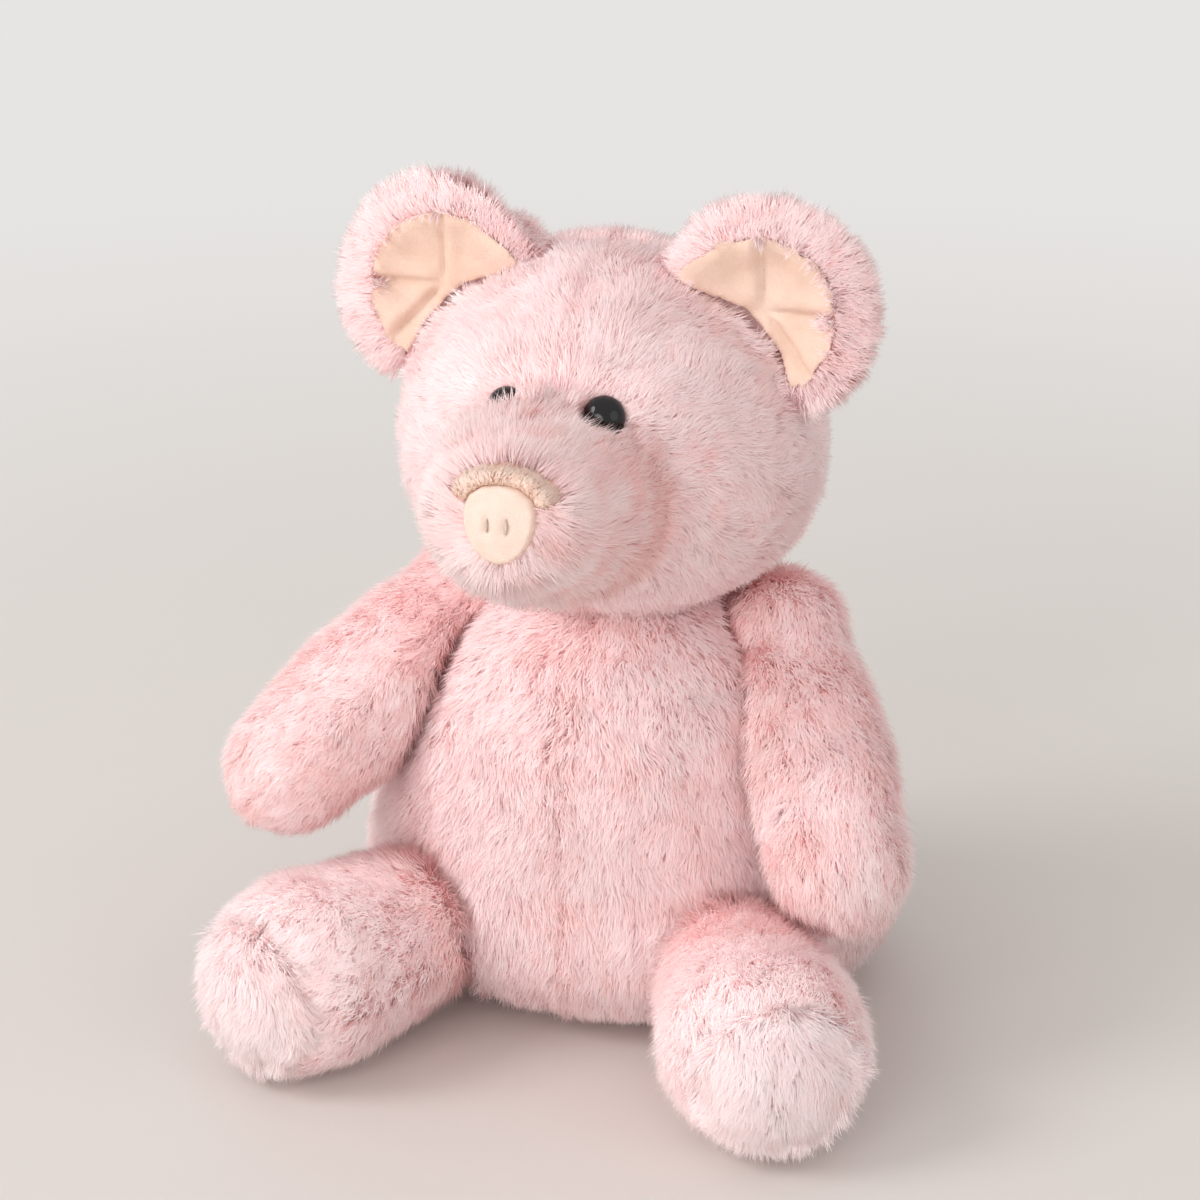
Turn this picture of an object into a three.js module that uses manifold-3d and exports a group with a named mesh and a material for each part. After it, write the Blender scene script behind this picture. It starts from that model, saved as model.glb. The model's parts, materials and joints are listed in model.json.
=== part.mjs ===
import * as THREE from "three";
import { mergeVertices } from "three/addons/utils/BufferGeometryUtils.js";
import Module from "manifold-3d";

// Plush pig sitting on a flat seat. It faces -Y, its own left is +X, and the table is at height zero.

// Cloth and clearances
const pile_thickness = 9;
const seam_gap = 0.3;
const seat_cut = 0.5;

// Torso: a pear with a round neck that leans forward and a flattened seat
const torso_width = 228;
const torso_height = 190;
const belly_depth = 102;
const back_depth = 88;
const neck_lean = 24;
const torso_profile_shares = [
  [0.52, 0.0], [0.8, 0.035], [0.96, 0.14], [1.0, 0.27], [0.95, 0.4],
  [0.84, 0.53], [0.7, 0.67], [0.58, 0.79], [0.46, 0.88], [0.27, 0.96],
];
const neck_height_share = 0.74;
const neck_radius_share = 0.6;
const belly_height_share = 0.3;

// Pellet pouch that weighs the seat down
const pouch_width = 128;
const pouch_depth = 112;
const pouch_height = 26;

// Head: a ball a little wider below its middle
const head_width = 168;
const head_depth = 158;
const head_height = 148;
const head_centre_y = -34;
const head_centre_z = 244;
const cheek_share = 0.08;

// Muzzle: a furry barrel that stands out of the face and carries the snout
const muzzle_width = 90;
const muzzle_height = 76;
const muzzle_reach = 128;
const muzzle_root = 40;
const muzzle_drop = 11;
const muzzle_lift = 8;
const muzzle_base_share = 0.96;
const muzzle_swell_share = 0.35;
const muzzle_taper_share = 0.88;
const muzzle_taper_place_share = 0.72;

// Snout: a shield-shaped velour pad with an arched velour band over its top
const snout_width = 27;
const snout_height = 29;
const snout_taper_share = 0.14;
const snout_square_share = 0.25;
const snout_rim = 8;
const snout_band_wall = 2.5;
const snout_band_front = 3;
const snout_band_depth = 5;
const snout_band_flare = 2;
const snout_band_low = 8;
const snout_pad_thickness = 5;
const snout_pad_crown = 2;
const snout_edge = 1.2;
const nostril_spacing = 7.4;
const nostril_height = 5.6;
const nostril_thickness = 1.4;

// Eyes: moulded domes on a shank, locked by a washer inside the head
const eye_diameter = 16;
const eye_dome_height = 6.5;
const eye_shank_diameter = 4;
const eye_shank_length = 13;
const eye_edge = 1.2;
const eye_spread = 19.5;
const eye_rise = 26;
const eye_proud = 3;
const washer_diameter = 18;
const washer_thickness = 2;

// Ears: cupped rounds with a velour lining, sewn on along a root chord
const ear_width = 88;
const ear_height = 78;
const ear_thickness = 23;
const ear_cup = 11;
const ear_stand = 20;
const ear_root_length = 72;
const ear_root_diameter = 20;
const ear_clearance = 4;
const ear_sink = 9;
const ear_place = 47;
const ear_lean = 56;
const ear_back = -8;
const lining_width = 72;
const lining_height = 76;
const lining_depth = 9;
const lining_thickness = 3;
const lining_shift = 11;

// Arms: swelling sacks on a round root that sits in the shoulder
const arm_root_diameter = 54;
const arm_swell_diameter = 63;
const arm_paw_diameter = 55;
const arm_length = 104;
const arm_swell_share = 0.5;
const shoulder_x = 66;
const shoulder_y = -16;
const shoulder_z = 158;
const arm_left_spread = 33;
const arm_left_swing = 42;
const arm_right_spread = 44;
const arm_right_swing = 48;

// Legs: swelling sacks that end in a round foot with its own sole panel
const leg_root_diameter = 64;
const leg_shin_diameter = 66;
const foot_diameter = 80;
const leg_length = 86;
const leg_shin_share = 0.38;
const hip_x = 56;
const hip_y = -60;
const leg_splay = 26;
const sole_depth = 17;

// Tail: a small curl sewn into the back seam
const tail_thickness = 11;
const tail_curl_diameter = 17;
const tail_curl_pitch = 14;
const tail_turns = 1.1;
const tail_height = 50;
const tail_lead_share = 3;
const tail_steps = 12;

// How far each joint turns past the pose shown, in degrees
const arm_range = [-15, 30];
const leg_range = [-20, 3];
const swing_step = 24;
const swing_clearance = 3.5;

// Facets
const torso_sides = 24;
const head_sides = 24;
const limb_sides = 16;
const round_sides = 14;
const inner_sides = 12;
const swing_sides = 16;
const small_sides = 8;
const curve_steps = 5;

const colours = {
  fur: 0xf3cdcc,
  sole: 0xf0c6c5,
  lining: 0xfbdbbe,
  snout: 0xfeeedb,
  band: 0xd5baa3,
  thread: 0xb99a86,
  eye: 0x0b0a0a,
  washer: 0xe8e8e4,
  stuffing: 0xf7f6f2,
  pouch: 0xe9e2d2,
};

const wasm = await Module();
wasm.setup();

const pig = new THREE.Group();

function solidOf(geometry) {
  const bare = geometry.clone();
  bare.deleteAttribute("normal");
  bare.deleteAttribute("uv");
  const merged = mergeVertices(bare, 1e-4);
  const corners = merged.index.array;
  const kept = [];
  for (let k = 0; k < corners.length; k += 3) {
    const [a, b, c] = [corners[k], corners[k + 1], corners[k + 2]];
    if (a !== b && b !== c && a !== c) kept.push(a, b, c);
  }
  return new wasm.Manifold(new wasm.Mesh({
    numProp: 3,
    vertProperties: new Float32Array(merged.attributes.position.array),
    triVerts: new Uint32Array(kept),
  }));
}

function geometryOf(solid) {
  const mesh = solid.getMesh();
  const geometry = new THREE.BufferGeometry();
  geometry.setAttribute("position", new THREE.BufferAttribute(new Float32Array(mesh.vertProperties), 3));
  geometry.setIndex(new THREE.BufferAttribute(new Uint32Array(mesh.triVerts), 1));
  geometry.computeVertexNormals();
  return geometry;
}

function cut(solid, ...tools) {
  return tools.reduce((left, tool) => left.subtract(tool), solid);
}

function addPart(name, solid, colour, roughness = 0.9) {
  const material = new THREE.MeshStandardMaterial({ color: colour, roughness, metalness: 0 });
  const mesh = new THREE.Mesh(geometryOf(solid), material);
  mesh.name = name;
  pig.add(mesh);
}

function moved(geometry, matrix) {
  return geometry.clone().applyMatrix4(matrix);
}

function warp(geometry, rule) {
  const places = geometry.attributes.position;
  const place = new THREE.Vector3();
  for (let k = 0; k < places.count; k += 1) {
    place.fromBufferAttribute(places, k);
    rule(place);
    places.setXYZ(k, place.x, place.y, place.z);
  }
  return geometry;
}

// A lathe turned about the Z axis
function turned(profile, sides) {
  return new THREE.LatheGeometry(profile, sides).rotateX(Math.PI / 2);
}

// A ball with its own width, depth and height
function ball(width, depth, height, sides) {
  const profile = new THREE.EllipseCurve(0, 0, 1, 1, -Math.PI / 2, Math.PI / 2).getPoints(sides / 2);
  profile[0].x = 0;
  profile[profile.length - 1].x = 0;
  return turned(profile, sides).scale(width / 2, depth / 2, height / 2);
}

// A block between two corners, used where a seam or the table cuts a form flat
function block(low, high) {
  const size = high.clone().sub(low);
  const middle = high.clone().add(low).multiplyScalar(0.5);
  return new THREE.BoxGeometry(size.x, size.y, size.z).translate(middle.x, middle.y, middle.z);
}

const reach = torso_height + head_height + ear_height;
const below_table = solidOf(block(
  new THREE.Vector3(-reach, -reach, -reach),
  new THREE.Vector3(reach, reach, 0),
));

// Two halves of a form on either side of a seam plane, with the seam's gap between them
function seamHalves(solid, frame, axis) {
  return [1, -1].map((side) => {
    const low = new THREE.Vector3(-reach, -reach, -reach);
    const high = new THREE.Vector3(reach, reach, reach);
    if (side > 0) low[axis] = seam_gap / 2;
    else high[axis] = -seam_gap / 2;
    return solid.intersect(solidOf(moved(block(low, high), frame)));
  });
}

// Torso
function smooth(share) {
  const held = THREE.MathUtils.clamp(share, 0, 1);
  return held * held * (3 - 2 * held);
}

function torsoForm(inset, sides) {
  const half_width = torso_width / 2 - inset;
  const height = torso_height + seat_cut - 2 * inset;
  const spline = new THREE.SplineCurve(torso_profile_shares.map(([radius, rise]) => (
    new THREE.Vector2(radius * half_width, rise * height))));
  const outline = [new THREE.Vector2(0, 0), ...spline.getPoints(sides / 2)];
  outline.push(new THREE.Vector2(0, height));
  const form = turned(outline, sides);
  const front_factor = (belly_depth - inset) / half_width;
  const back_factor = (back_depth - inset) / half_width;
  return warp(form, (place) => {
    const share = place.z / height;
    const rise = smooth((share - belly_height_share) / (neck_height_share - belly_height_share));
    const factor = place.y < 0 ? front_factor : back_factor;
    place.y *= THREE.MathUtils.lerp(factor, 1, rise);
    place.y -= neck_lean * rise;
    place.z += inset - seat_cut;
  });
}

const torso_outer = cut(solidOf(torsoForm(0, torso_sides)), below_table);
const torso_inner = solidOf(torsoForm(pile_thickness, inner_sides));
const torso_core = solidOf(torsoForm(pile_thickness + seam_gap, inner_sides));

// The neck opening of the head fits over the top of the torso with room to turn
const neck_radius = torso_width / 2 * neck_radius_share;
const neck_fit = seam_gap + neck_radius * (1 - Math.cos(Math.PI / (2 * torso_sides)));
const neck_seat = solidOf(torsoForm(-neck_fit, 2 * torso_sides));

// Limbs
function limbForm(sizes, inset, sides) {
  const root = sizes.root / 2 - inset;
  const tip = sizes.tip / 2 - inset;
  const rings = sides / 4;
  const root_arc = new THREE.EllipseCurve(0, 0, root, root, -Math.PI / 2, 2 * Math.PI / sides)
    .getPoints(rings + 1);
  const tip_arc = new THREE.EllipseCurve(0, sizes.length, tip, tip, 0, Math.PI / 2).getPoints(rings);
  const middle = new THREE.Vector2(sizes.swell / 2 - inset, sizes.length * sizes.swell_share);
  const flank = new THREE.SplineCurve([root_arc.at(-1), middle, tip_arc[0]]).getPoints(rings);
  const outline = [...root_arc, ...flank.slice(1, -1), ...tip_arc];
  outline[0].x = 0;
  outline.at(-1).x = 0;
  return turned(outline, sides);
}

const arm_sizes = {
  root: arm_root_diameter,
  swell: arm_swell_diameter,
  tip: arm_paw_diameter,
  length: arm_length,
  swell_share: arm_swell_share,
};
const leg_sizes = {
  root: leg_root_diameter,
  swell: leg_shin_diameter,
  tip: foot_diameter,
  length: leg_length,
  swell_share: leg_shin_share,
};
const hip_z = foot_diameter / 2 - seat_cut;

// A limb's frame: its length runs along +Z from the middle of its round root
function armFrame(side) {
  const spread = THREE.MathUtils.degToRad(side > 0 ? arm_left_spread : arm_right_spread);
  const swing = THREE.MathUtils.degToRad(side > 0 ? arm_left_swing : arm_right_swing);
  const frame = new THREE.Matrix4().makeTranslation(side * shoulder_x, shoulder_y, shoulder_z);
  frame.multiply(new THREE.Matrix4().makeRotationY(-side * spread));
  return frame.multiply(new THREE.Matrix4().makeRotationX(Math.PI - swing));
}

function legFrame(side) {
  const splay = THREE.MathUtils.degToRad(leg_splay);
  const frame = new THREE.Matrix4().makeTranslation(side * hip_x, hip_y, hip_z);
  frame.multiply(new THREE.Matrix4().makeRotationZ(side * splay));
  return frame.multiply(new THREE.Matrix4().makeRotationX(Math.PI / 2));
}

function socketBall(diameter, x, y, z) {
  const size = (diameter + 2 * seam_gap) / Math.cos(Math.PI / limb_sides) ** 2;
  return solidOf(ball(size, size, size, limb_sides).translate(x, y, z));
}

const sides_of_pig = [["left", 1], ["right", -1]];
const sockets = sides_of_pig.flatMap(([, side]) => [
  socketBall(arm_root_diameter, side * shoulder_x, shoulder_y, shoulder_z),
  socketBall(leg_root_diameter, side * hip_x, hip_y, hip_z),
]);

// What a limb swings past: the torso turned about the limb's hinge through its whole range,
// less the round root that turns inside the socket
const torso_grown = solidOf(torsoForm(-swing_clearance, swing_sides));
function swingRoom(sizes, frame, range) {
  const back = frame.clone().invert();
  const steps = Math.ceil((range[1] - range[0]) / swing_step);
  const copies = [];
  for (let step = 0; step <= steps; step += 1) {
    const angle = THREE.MathUtils.degToRad(THREE.MathUtils.lerp(range[0], range[1], step / steps));
    const turn = new THREE.Matrix4().makeRotationX(angle);
    copies.push(torso_grown.transform(frame.clone().multiply(turn).multiply(back).elements));
  }
  const root = sizes.root + seam_gap;
  return cut(wasm.Manifold.union(copies), solidOf(moved(ball(root, root, root, limb_sides), frame)));
}

function limbSolid(sizes, frame, inset, sides) {
  return solidOf(moved(limbForm(sizes, inset, sides), frame));
}

const torso_skin = cut(torso_outer, torso_inner, ...sockets);
const [torso_back, torso_front] = seamHalves(torso_skin, new THREE.Matrix4(), "y");
const [belly_left, belly_right] = seamHalves(torso_front, new THREE.Matrix4(), "x");
const [back_left, back_right] = seamHalves(torso_back, new THREE.Matrix4(), "x");
addPart("belly_left", belly_left, colours.fur);
addPart("belly_right", belly_right, colours.fur);
addPart("back_left", back_left, colours.fur);
addPart("back_right", back_right, colours.fur);

const pouch_bottom = pile_thickness + seam_gap;
function pouchForm(grown) {
  const size = 2 * grown;
  return solidOf(ball(pouch_width + size, pouch_depth + size, 2 * pouch_height + size, round_sides)
    .translate(0, 0, pouch_bottom));
}
addPart("pellet_pouch", pouchForm(0).intersect(torso_core), colours.pouch);
addPart("torso_stuffing", cut(torso_core, pouchForm(seam_gap), ...sockets), colours.stuffing);

// Arms: an outer and an inner panel sewn round a firm filling
for (const [name, side] of sides_of_pig) {
  const frame = armFrame(side);
  const room = swingRoom(arm_sizes, frame, arm_range);
  const outer = cut(limbSolid(arm_sizes, frame, 0, limb_sides), room);
  const inner = limbSolid(arm_sizes, frame, pile_thickness, inner_sides);
  const core = cut(limbSolid(arm_sizes, frame, pile_thickness + seam_gap, inner_sides), room);
  const halves = seamHalves(cut(outer, inner), frame, "x");
  const [panel_out, panel_in] = side > 0 ? halves : halves.reverse();
  addPart(`arm_${name}_outer`, panel_out, colours.fur);
  addPart(`arm_${name}_inner`, panel_in, colours.fur);
  addPart(`arm_${name}_stuffing`, core, colours.stuffing);
}

// Legs: a top and an under panel, closed at the foot by a round sole
for (const [name, side] of sides_of_pig) {
  const frame = legFrame(side);
  const room = swingRoom(leg_sizes, frame, leg_range);
  const outer = cut(limbSolid(leg_sizes, frame, 0, limb_sides), below_table, room);
  const inner = limbSolid(leg_sizes, frame, pile_thickness, inner_sides);
  const core = cut(limbSolid(leg_sizes, frame, pile_thickness + seam_gap, inner_sides), room);
  const sole_seam = frame.clone().multiply(new THREE.Matrix4().makeTranslation(
    0, 0, leg_length + foot_diameter / 2 - sole_depth));
  const [sole, sleeve] = seamHalves(cut(outer, inner), sole_seam, "z");
  const side_seam = new THREE.Matrix4().makeTranslation(0, 0, hip_z);
  const [top, under] = seamHalves(sleeve, side_seam, "z");
  addPart(`leg_${name}_top`, top, colours.fur);
  addPart(`leg_${name}_under`, under, colours.fur);
  addPart(`leg_${name}_sole`, sole, colours.sole);
  addPart(`leg_${name}_stuffing`, core, colours.stuffing);
}

// Head
function headForm(inset, sides) {
  const form = ball(head_width - 2 * inset, head_depth - 2 * inset, head_height - 2 * inset, sides);
  return warp(form, (place) => {
    place.x *= 1 - cheek_share * place.z / (head_height / 2);
    place.z += head_centre_z;
    place.y += head_centre_y;
  });
}

// The muzzle runs along +Z of its own frame, from inside the face to the snout
const muzzle_frame = new THREE.Matrix4().makeTranslation(
  0, head_centre_y - muzzle_root, head_centre_z - muzzle_drop);
muzzle_frame.multiply(new THREE.Matrix4().makeRotationX(
  Math.PI / 2 - THREE.MathUtils.degToRad(muzzle_lift)));
const muzzle_length = muzzle_reach - muzzle_root;

function muzzleForm(inset, start, sides) {
  const length = muzzle_length - inset;
  const tip = snout_width / 2 + snout_rim - inset;
  const base = muzzle_width / 2 - inset;
  const outline = [
    new THREE.Vector2(0, -start),
    new THREE.Vector2(base * muzzle_base_share, -start),
    ...new THREE.SplineCurve([
      new THREE.Vector2(base * muzzle_base_share, 0),
      new THREE.Vector2(base, length * muzzle_swell_share),
      new THREE.Vector2(base * muzzle_taper_share, length * muzzle_taper_place_share),
      new THREE.Vector2(tip, length),
    ]).getPoints(curve_steps),
    new THREE.Vector2(0, length),
  ];
  const height_factor = (muzzle_height / 2 - inset) / base;
  return moved(turned(outline, sides).scale(1, height_factor, 1), muzzle_frame);
}

// Places on the head's surface, straight out from its middle
function headSurface(x, z) {
  const half_width = head_width / 2 * (1 - cheek_share * z / (head_height / 2));
  const level = 1 - (x / half_width) ** 2 - (z / (head_height / 2)) ** 2;
  return new THREE.Vector3(
    x, head_centre_y - head_depth / 2 * Math.sqrt(level), head_centre_z + z);
}

function eyeFrame(side) {
  const place = headSurface(side * eye_spread, eye_rise);
  const centre = new THREE.Vector3(0, head_centre_y, head_centre_z);
  const out = place.clone().sub(centre).divide(new THREE.Vector3(
    (head_width / 2) ** 2, (head_depth / 2) ** 2, (head_height / 2) ** 2)).normalize();
  const turn = new THREE.Quaternion().setFromUnitVectors(new THREE.Vector3(0, 0, 1), out);
  place.addScaledVector(out, eye_proud - eye_dome_height);
  return new THREE.Matrix4().compose(place, turn, new THREE.Vector3(1, 1, 1));
}

function cylinder(diameter, low, high, sides) {
  return turned([
    new THREE.Vector2(0, low), new THREE.Vector2(diameter / 2, low),
    new THREE.Vector2(diameter / 2, high), new THREE.Vector2(0, high),
  ], sides);
}

const eye_profile = [
  new THREE.Vector2(0, -eye_shank_length),
  new THREE.Vector2(eye_shank_diameter / 2, -eye_shank_length),
  new THREE.Vector2(eye_shank_diameter / 2, 0),
  new THREE.Vector2(eye_diameter / 2 - eye_edge, 0),
  ...new THREE.EllipseCurve(0, eye_edge, eye_diameter / 2, eye_dome_height - eye_edge, 0, Math.PI / 2)
    .getPoints(curve_steps).slice(0, -1),
  new THREE.Vector2(0, eye_dome_height),
];
const washer_top = eye_proud - eye_dome_height + pile_thickness + seam_gap;
const washer_profile = [
  new THREE.Vector2(eye_shank_diameter / 2 + seam_gap, -washer_thickness),
  new THREE.Vector2(washer_diameter / 2, -washer_thickness),
  new THREE.Vector2(washer_diameter / 2, 0),
  new THREE.Vector2(eye_shank_diameter / 2 + seam_gap, 0),
  new THREE.Vector2(eye_shank_diameter / 2 + seam_gap, -washer_thickness),
].map((point) => point.add(new THREE.Vector2(0, -washer_top)));

const eye_rooms = [];
for (const [name, side] of sides_of_pig) {
  const frame = eyeFrame(side);
  addPart(`eye_${name}`, solidOf(moved(turned(eye_profile, round_sides), frame)), colours.eye, 0.08);
  addPart(`eye_washer_${name}`,
    solidOf(moved(turned(washer_profile, round_sides), frame)), colours.washer, 0.4);
  eye_rooms.push(
    solidOf(moved(cylinder(
      eye_diameter + 2 * seam_gap, -seam_gap, eye_dome_height + seam_gap, round_sides), frame)),
    solidOf(moved(cylinder(
      eye_shank_diameter + 2 * seam_gap, -eye_shank_length - seam_gap, 0, round_sides), frame)),
    solidOf(moved(cylinder(washer_diameter + 2 * seam_gap,
      -washer_top - washer_thickness - seam_gap, -washer_top + seam_gap, round_sides), frame)),
  );
}

// Ears: the plate stands up along +Z of its frame, and its dish faces -Y
function earFrame(side) {
  const place = THREE.MathUtils.degToRad(ear_place);
  const lean = THREE.MathUtils.degToRad(ear_lean);
  const frame = new THREE.Matrix4().makeTranslation(
    side * head_width / 2 * Math.sin(place) * (1 - cheek_share * Math.cos(place)),
    head_centre_y + ear_back,
    head_centre_z + head_height / 2 * Math.cos(place));
  frame.multiply(new THREE.Matrix4().makeRotationY(side * lean));
  return frame.multiply(new THREE.Matrix4().makeTranslation(0, 0, -ear_sink));
}

function cupped(geometry) {
  return warp(geometry, (place) => {
    place.y -= ear_cup * (place.x / (ear_width / 2)) ** 2;
  });
}

function liningForm(grown, forward) {
  return cupped(ball(
    lining_width + 2 * grown, 2 * (lining_depth + grown), lining_height + 2 * grown, round_sides)
    .translate(0, -ear_thickness / 2 - forward, ear_stand - lining_shift));
}

function earRoot(grown) {
  const diameter = (ear_root_diameter + 2 * grown) / (grown > 0 ? Math.cos(Math.PI / round_sides) : 1);
  const half = ear_root_length / 2 + grown;
  return cylinder(diameter, -half, half, round_sides).rotateY(Math.PI / 2);
}

const ear_rooms = [];
for (const [name, side] of sides_of_pig) {
  const frame = earFrame(side);
  const plate = solidOf(cupped(ball(ear_width, ear_thickness, ear_height, limb_sides)
    .translate(0, 0, ear_stand)));
  const head_near = solidOf(moved(headForm(-ear_clearance, head_sides), frame.clone().invert()));
  const back = cut(plate, head_near).add(solidOf(earRoot(0))).subtract(solidOf(liningForm(seam_gap, 0)));
  const lining = cut(solidOf(liningForm(0, 0)), solidOf(liningForm(0, lining_thickness)));
  const dish = cut(lining.intersect(plate), head_near);
  addPart(`ear_${name}`, back.transform(frame.elements), colours.fur);
  addPart(`ear_lining_${name}`, dish.transform(frame.elements), colours.lining);
  ear_rooms.push(solidOf(moved(earRoot(seam_gap), frame)));
}

// Head panels: a face and a back on each side, open at the neck and behind the muzzle
const head_outer = solidOf(headForm(0, head_sides));
const head_room = solidOf(headForm(-seam_gap, head_sides));
const muzzle_hole = solidOf(muzzleForm(pile_thickness, muzzle_root, round_sides));
const muzzle_core = solidOf(muzzleForm(pile_thickness + seam_gap, muzzle_root, round_sides));
const head_skin = cut(
  head_outer, solidOf(headForm(pile_thickness, inner_sides)), neck_seat, muzzle_hole,
  ...eye_rooms, ...ear_rooms);
const crown_seam = new THREE.Matrix4().makeTranslation(0, head_centre_y, 0);
const [head_back, head_front] = seamHalves(head_skin, crown_seam, "y");
const [face_left, face_right] = seamHalves(head_front, new THREE.Matrix4(), "x");
const [head_back_left, head_back_right] = seamHalves(head_back, new THREE.Matrix4(), "x");
addPart("face_left", face_left, colours.fur);
addPart("face_right", face_right, colours.fur);
addPart("head_back_left", head_back_left, colours.fur);
addPart("head_back_right", head_back_right, colours.fur);
addPart("head_stuffing", cut(
  solidOf(headForm(pile_thickness + seam_gap, inner_sides)).add(muzzle_core),
  neck_seat, ...eye_rooms, ...ear_rooms,
), colours.stuffing);

// Snout: a shield-shaped pad and an arched band of velour over its top
const snout_frame = muzzle_frame.clone().multiply(
  new THREE.Matrix4().makeTranslation(0, 0, muzzle_length));

function shieldForm(profile, sides) {
  return warp(turned(profile, sides), (place) => {
    const rise = Math.max(-1, Math.min(1, place.y / (snout_height / 2)));
    const square = snout_square_share * Math.max(0, rise) ** 2;
    place.x *= snout_width / snout_height * (1 + snout_taper_share * rise + square);
  });
}

const pad_radius = snout_height / 2;
const pad_front = seam_gap + snout_pad_thickness;
const pad_profile = [
  new THREE.Vector2(0, seam_gap),
  new THREE.Vector2(pad_radius - snout_edge, seam_gap),
  new THREE.Vector2(pad_radius, seam_gap + snout_edge),
  new THREE.Vector2(pad_radius, pad_front - snout_edge),
  new THREE.Vector2(pad_radius - snout_edge, pad_front),
  new THREE.Vector2(0, pad_front + snout_pad_crown),
];
function nostril(side, grown) {
  const thick = nostril_thickness + 2 * grown;
  return solidOf(moved(ball(thick, nostril_height + 2 * grown, thick, small_sides)
    .translate(side * nostril_spacing / 2, 0, pad_front + snout_pad_crown), snout_frame));
}
const pad_form = solidOf(moved(shieldForm(pad_profile, limb_sides), snout_frame));
addPart("snout_pad", cut(pad_form, nostril(1, seam_gap), nostril(-1, seam_gap)), colours.snout);
addPart("nostril_left", nostril(1, 0), colours.thread);
addPart("nostril_right", nostril(-1, 0), colours.thread);

// The band slopes back from the rim of the pad into the pile
function bandForm(grown) {
  const inner = pad_radius + seam_gap - grown;
  const outer = pad_radius + seam_gap + snout_band_wall + grown;
  const profile = [
    new THREE.Vector2(outer + snout_band_flare, -snout_band_depth - grown),
    new THREE.Vector2(outer, snout_band_front + grown),
    new THREE.Vector2(inner, snout_band_front + grown),
    new THREE.Vector2(inner + snout_band_flare, -snout_band_depth - grown),
    new THREE.Vector2(outer + snout_band_flare, -snout_band_depth - grown),
  ];
  const top = block(
    new THREE.Vector3(-reach, snout_band_low - grown, -reach),
    new THREE.Vector3(reach, reach, reach));
  return solidOf(moved(shieldForm(profile, limb_sides), snout_frame))
    .intersect(solidOf(moved(top, snout_frame)));
}
addPart("snout_band", bandForm(0), colours.band);

const muzzle_outer = solidOf(muzzleForm(0, 0, limb_sides));
const muzzle_skin = cut(muzzle_outer, head_room, muzzle_hole, bandForm(seam_gap), ...eye_rooms);
addPart("muzzle", muzzle_skin, colours.fur);

// Tail: a short curl on the back seam
const tail_root = new THREE.Vector3(0, back_depth - seam_gap, tail_height);
const tail_points = [];
for (let step = 0; step <= tail_steps; step += 1) {
  const share = step / tail_steps;
  const angle = 2 * Math.PI * tail_turns * share;
  const lead = smooth(share * tail_lead_share);
  const curl = tail_curl_diameter / 2 * lead;
  const out = tail_curl_pitch * (tail_turns * share + lead / 2);
  tail_points.push(
    new THREE.Vector3(curl * Math.sin(angle), out, curl * Math.cos(angle)).add(tail_root));
}
const tail_section = new THREE.Shape();
tail_section.absarc(0, 0, tail_thickness / 2, 0, 2 * Math.PI, false);
const tail = new THREE.ExtrudeGeometry(tail_section, {
  steps: tail_steps,
  curveSegments: small_sides / 2,
  bevelEnabled: false,
  extrudePath: new THREE.CatmullRomCurve3(tail_points),
});
addPart("tail", cut(solidOf(tail), solidOf(torsoForm(-seam_gap, torso_sides))), colours.fur);

// The origin lies on the table, under the middle of the whole toy
const middle = new THREE.Box3().setFromObject(pig).getCenter(new THREE.Vector3());
pig.position.set(-middle.x, -middle.y, 0);

export default pig;
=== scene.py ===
import json
import math
import bpy
import numpy as np
from mathutils import Matrix, Vector
from mathutils.bvhtree import BVHTree


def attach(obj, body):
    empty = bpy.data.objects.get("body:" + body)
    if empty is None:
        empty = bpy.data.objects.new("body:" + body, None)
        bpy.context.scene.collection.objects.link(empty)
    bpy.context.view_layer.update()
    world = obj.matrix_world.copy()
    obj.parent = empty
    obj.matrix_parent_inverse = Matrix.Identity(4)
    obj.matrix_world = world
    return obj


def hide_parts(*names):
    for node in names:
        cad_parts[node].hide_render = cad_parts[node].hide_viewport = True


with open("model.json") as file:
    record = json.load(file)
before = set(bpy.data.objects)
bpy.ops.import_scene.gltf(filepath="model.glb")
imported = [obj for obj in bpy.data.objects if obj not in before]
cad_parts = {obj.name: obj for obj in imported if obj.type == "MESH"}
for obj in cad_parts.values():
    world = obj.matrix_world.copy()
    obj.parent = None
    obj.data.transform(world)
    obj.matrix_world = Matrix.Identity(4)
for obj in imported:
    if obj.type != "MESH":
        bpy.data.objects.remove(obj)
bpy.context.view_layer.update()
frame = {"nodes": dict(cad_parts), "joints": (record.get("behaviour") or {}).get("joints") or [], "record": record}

# The camera stands in front of the toy, a little to the toy's left and above it, as far off
# as a portrait lens asks. The hinges tell where the toy's middle plane is.
hinges = {hinge["name"]: Vector(hinge["pos_m"]) for hinge in frame["joints"]}
seat_behind_shoulders = 0.016
toy_middle = (hinges["shoulder_left"] + hinges["shoulder_right"]) / 2
toy_middle = Vector((toy_middle.x, toy_middle.y + seat_behind_shoulders, 0.0))
camera_turn = math.radians(18)
camera_rise = math.radians(21)
camera_away = 1.4
camera_leftward = 0.01532
camera_upward = 0.1468
towards_camera = Vector((
    math.sin(camera_turn) * math.cos(camera_rise),
    -math.cos(camera_turn) * math.cos(camera_rise),
    math.sin(camera_rise),
))
camera_right = Vector((math.cos(camera_turn), math.sin(camera_turn), 0.0))
camera_up = towards_camera.cross(camera_right)


def add(name, data):
    """A new object in the scene."""
    thing = bpy.data.objects.new(name, data)
    bpy.context.scene.collection.objects.link(thing)
    return thing


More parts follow.
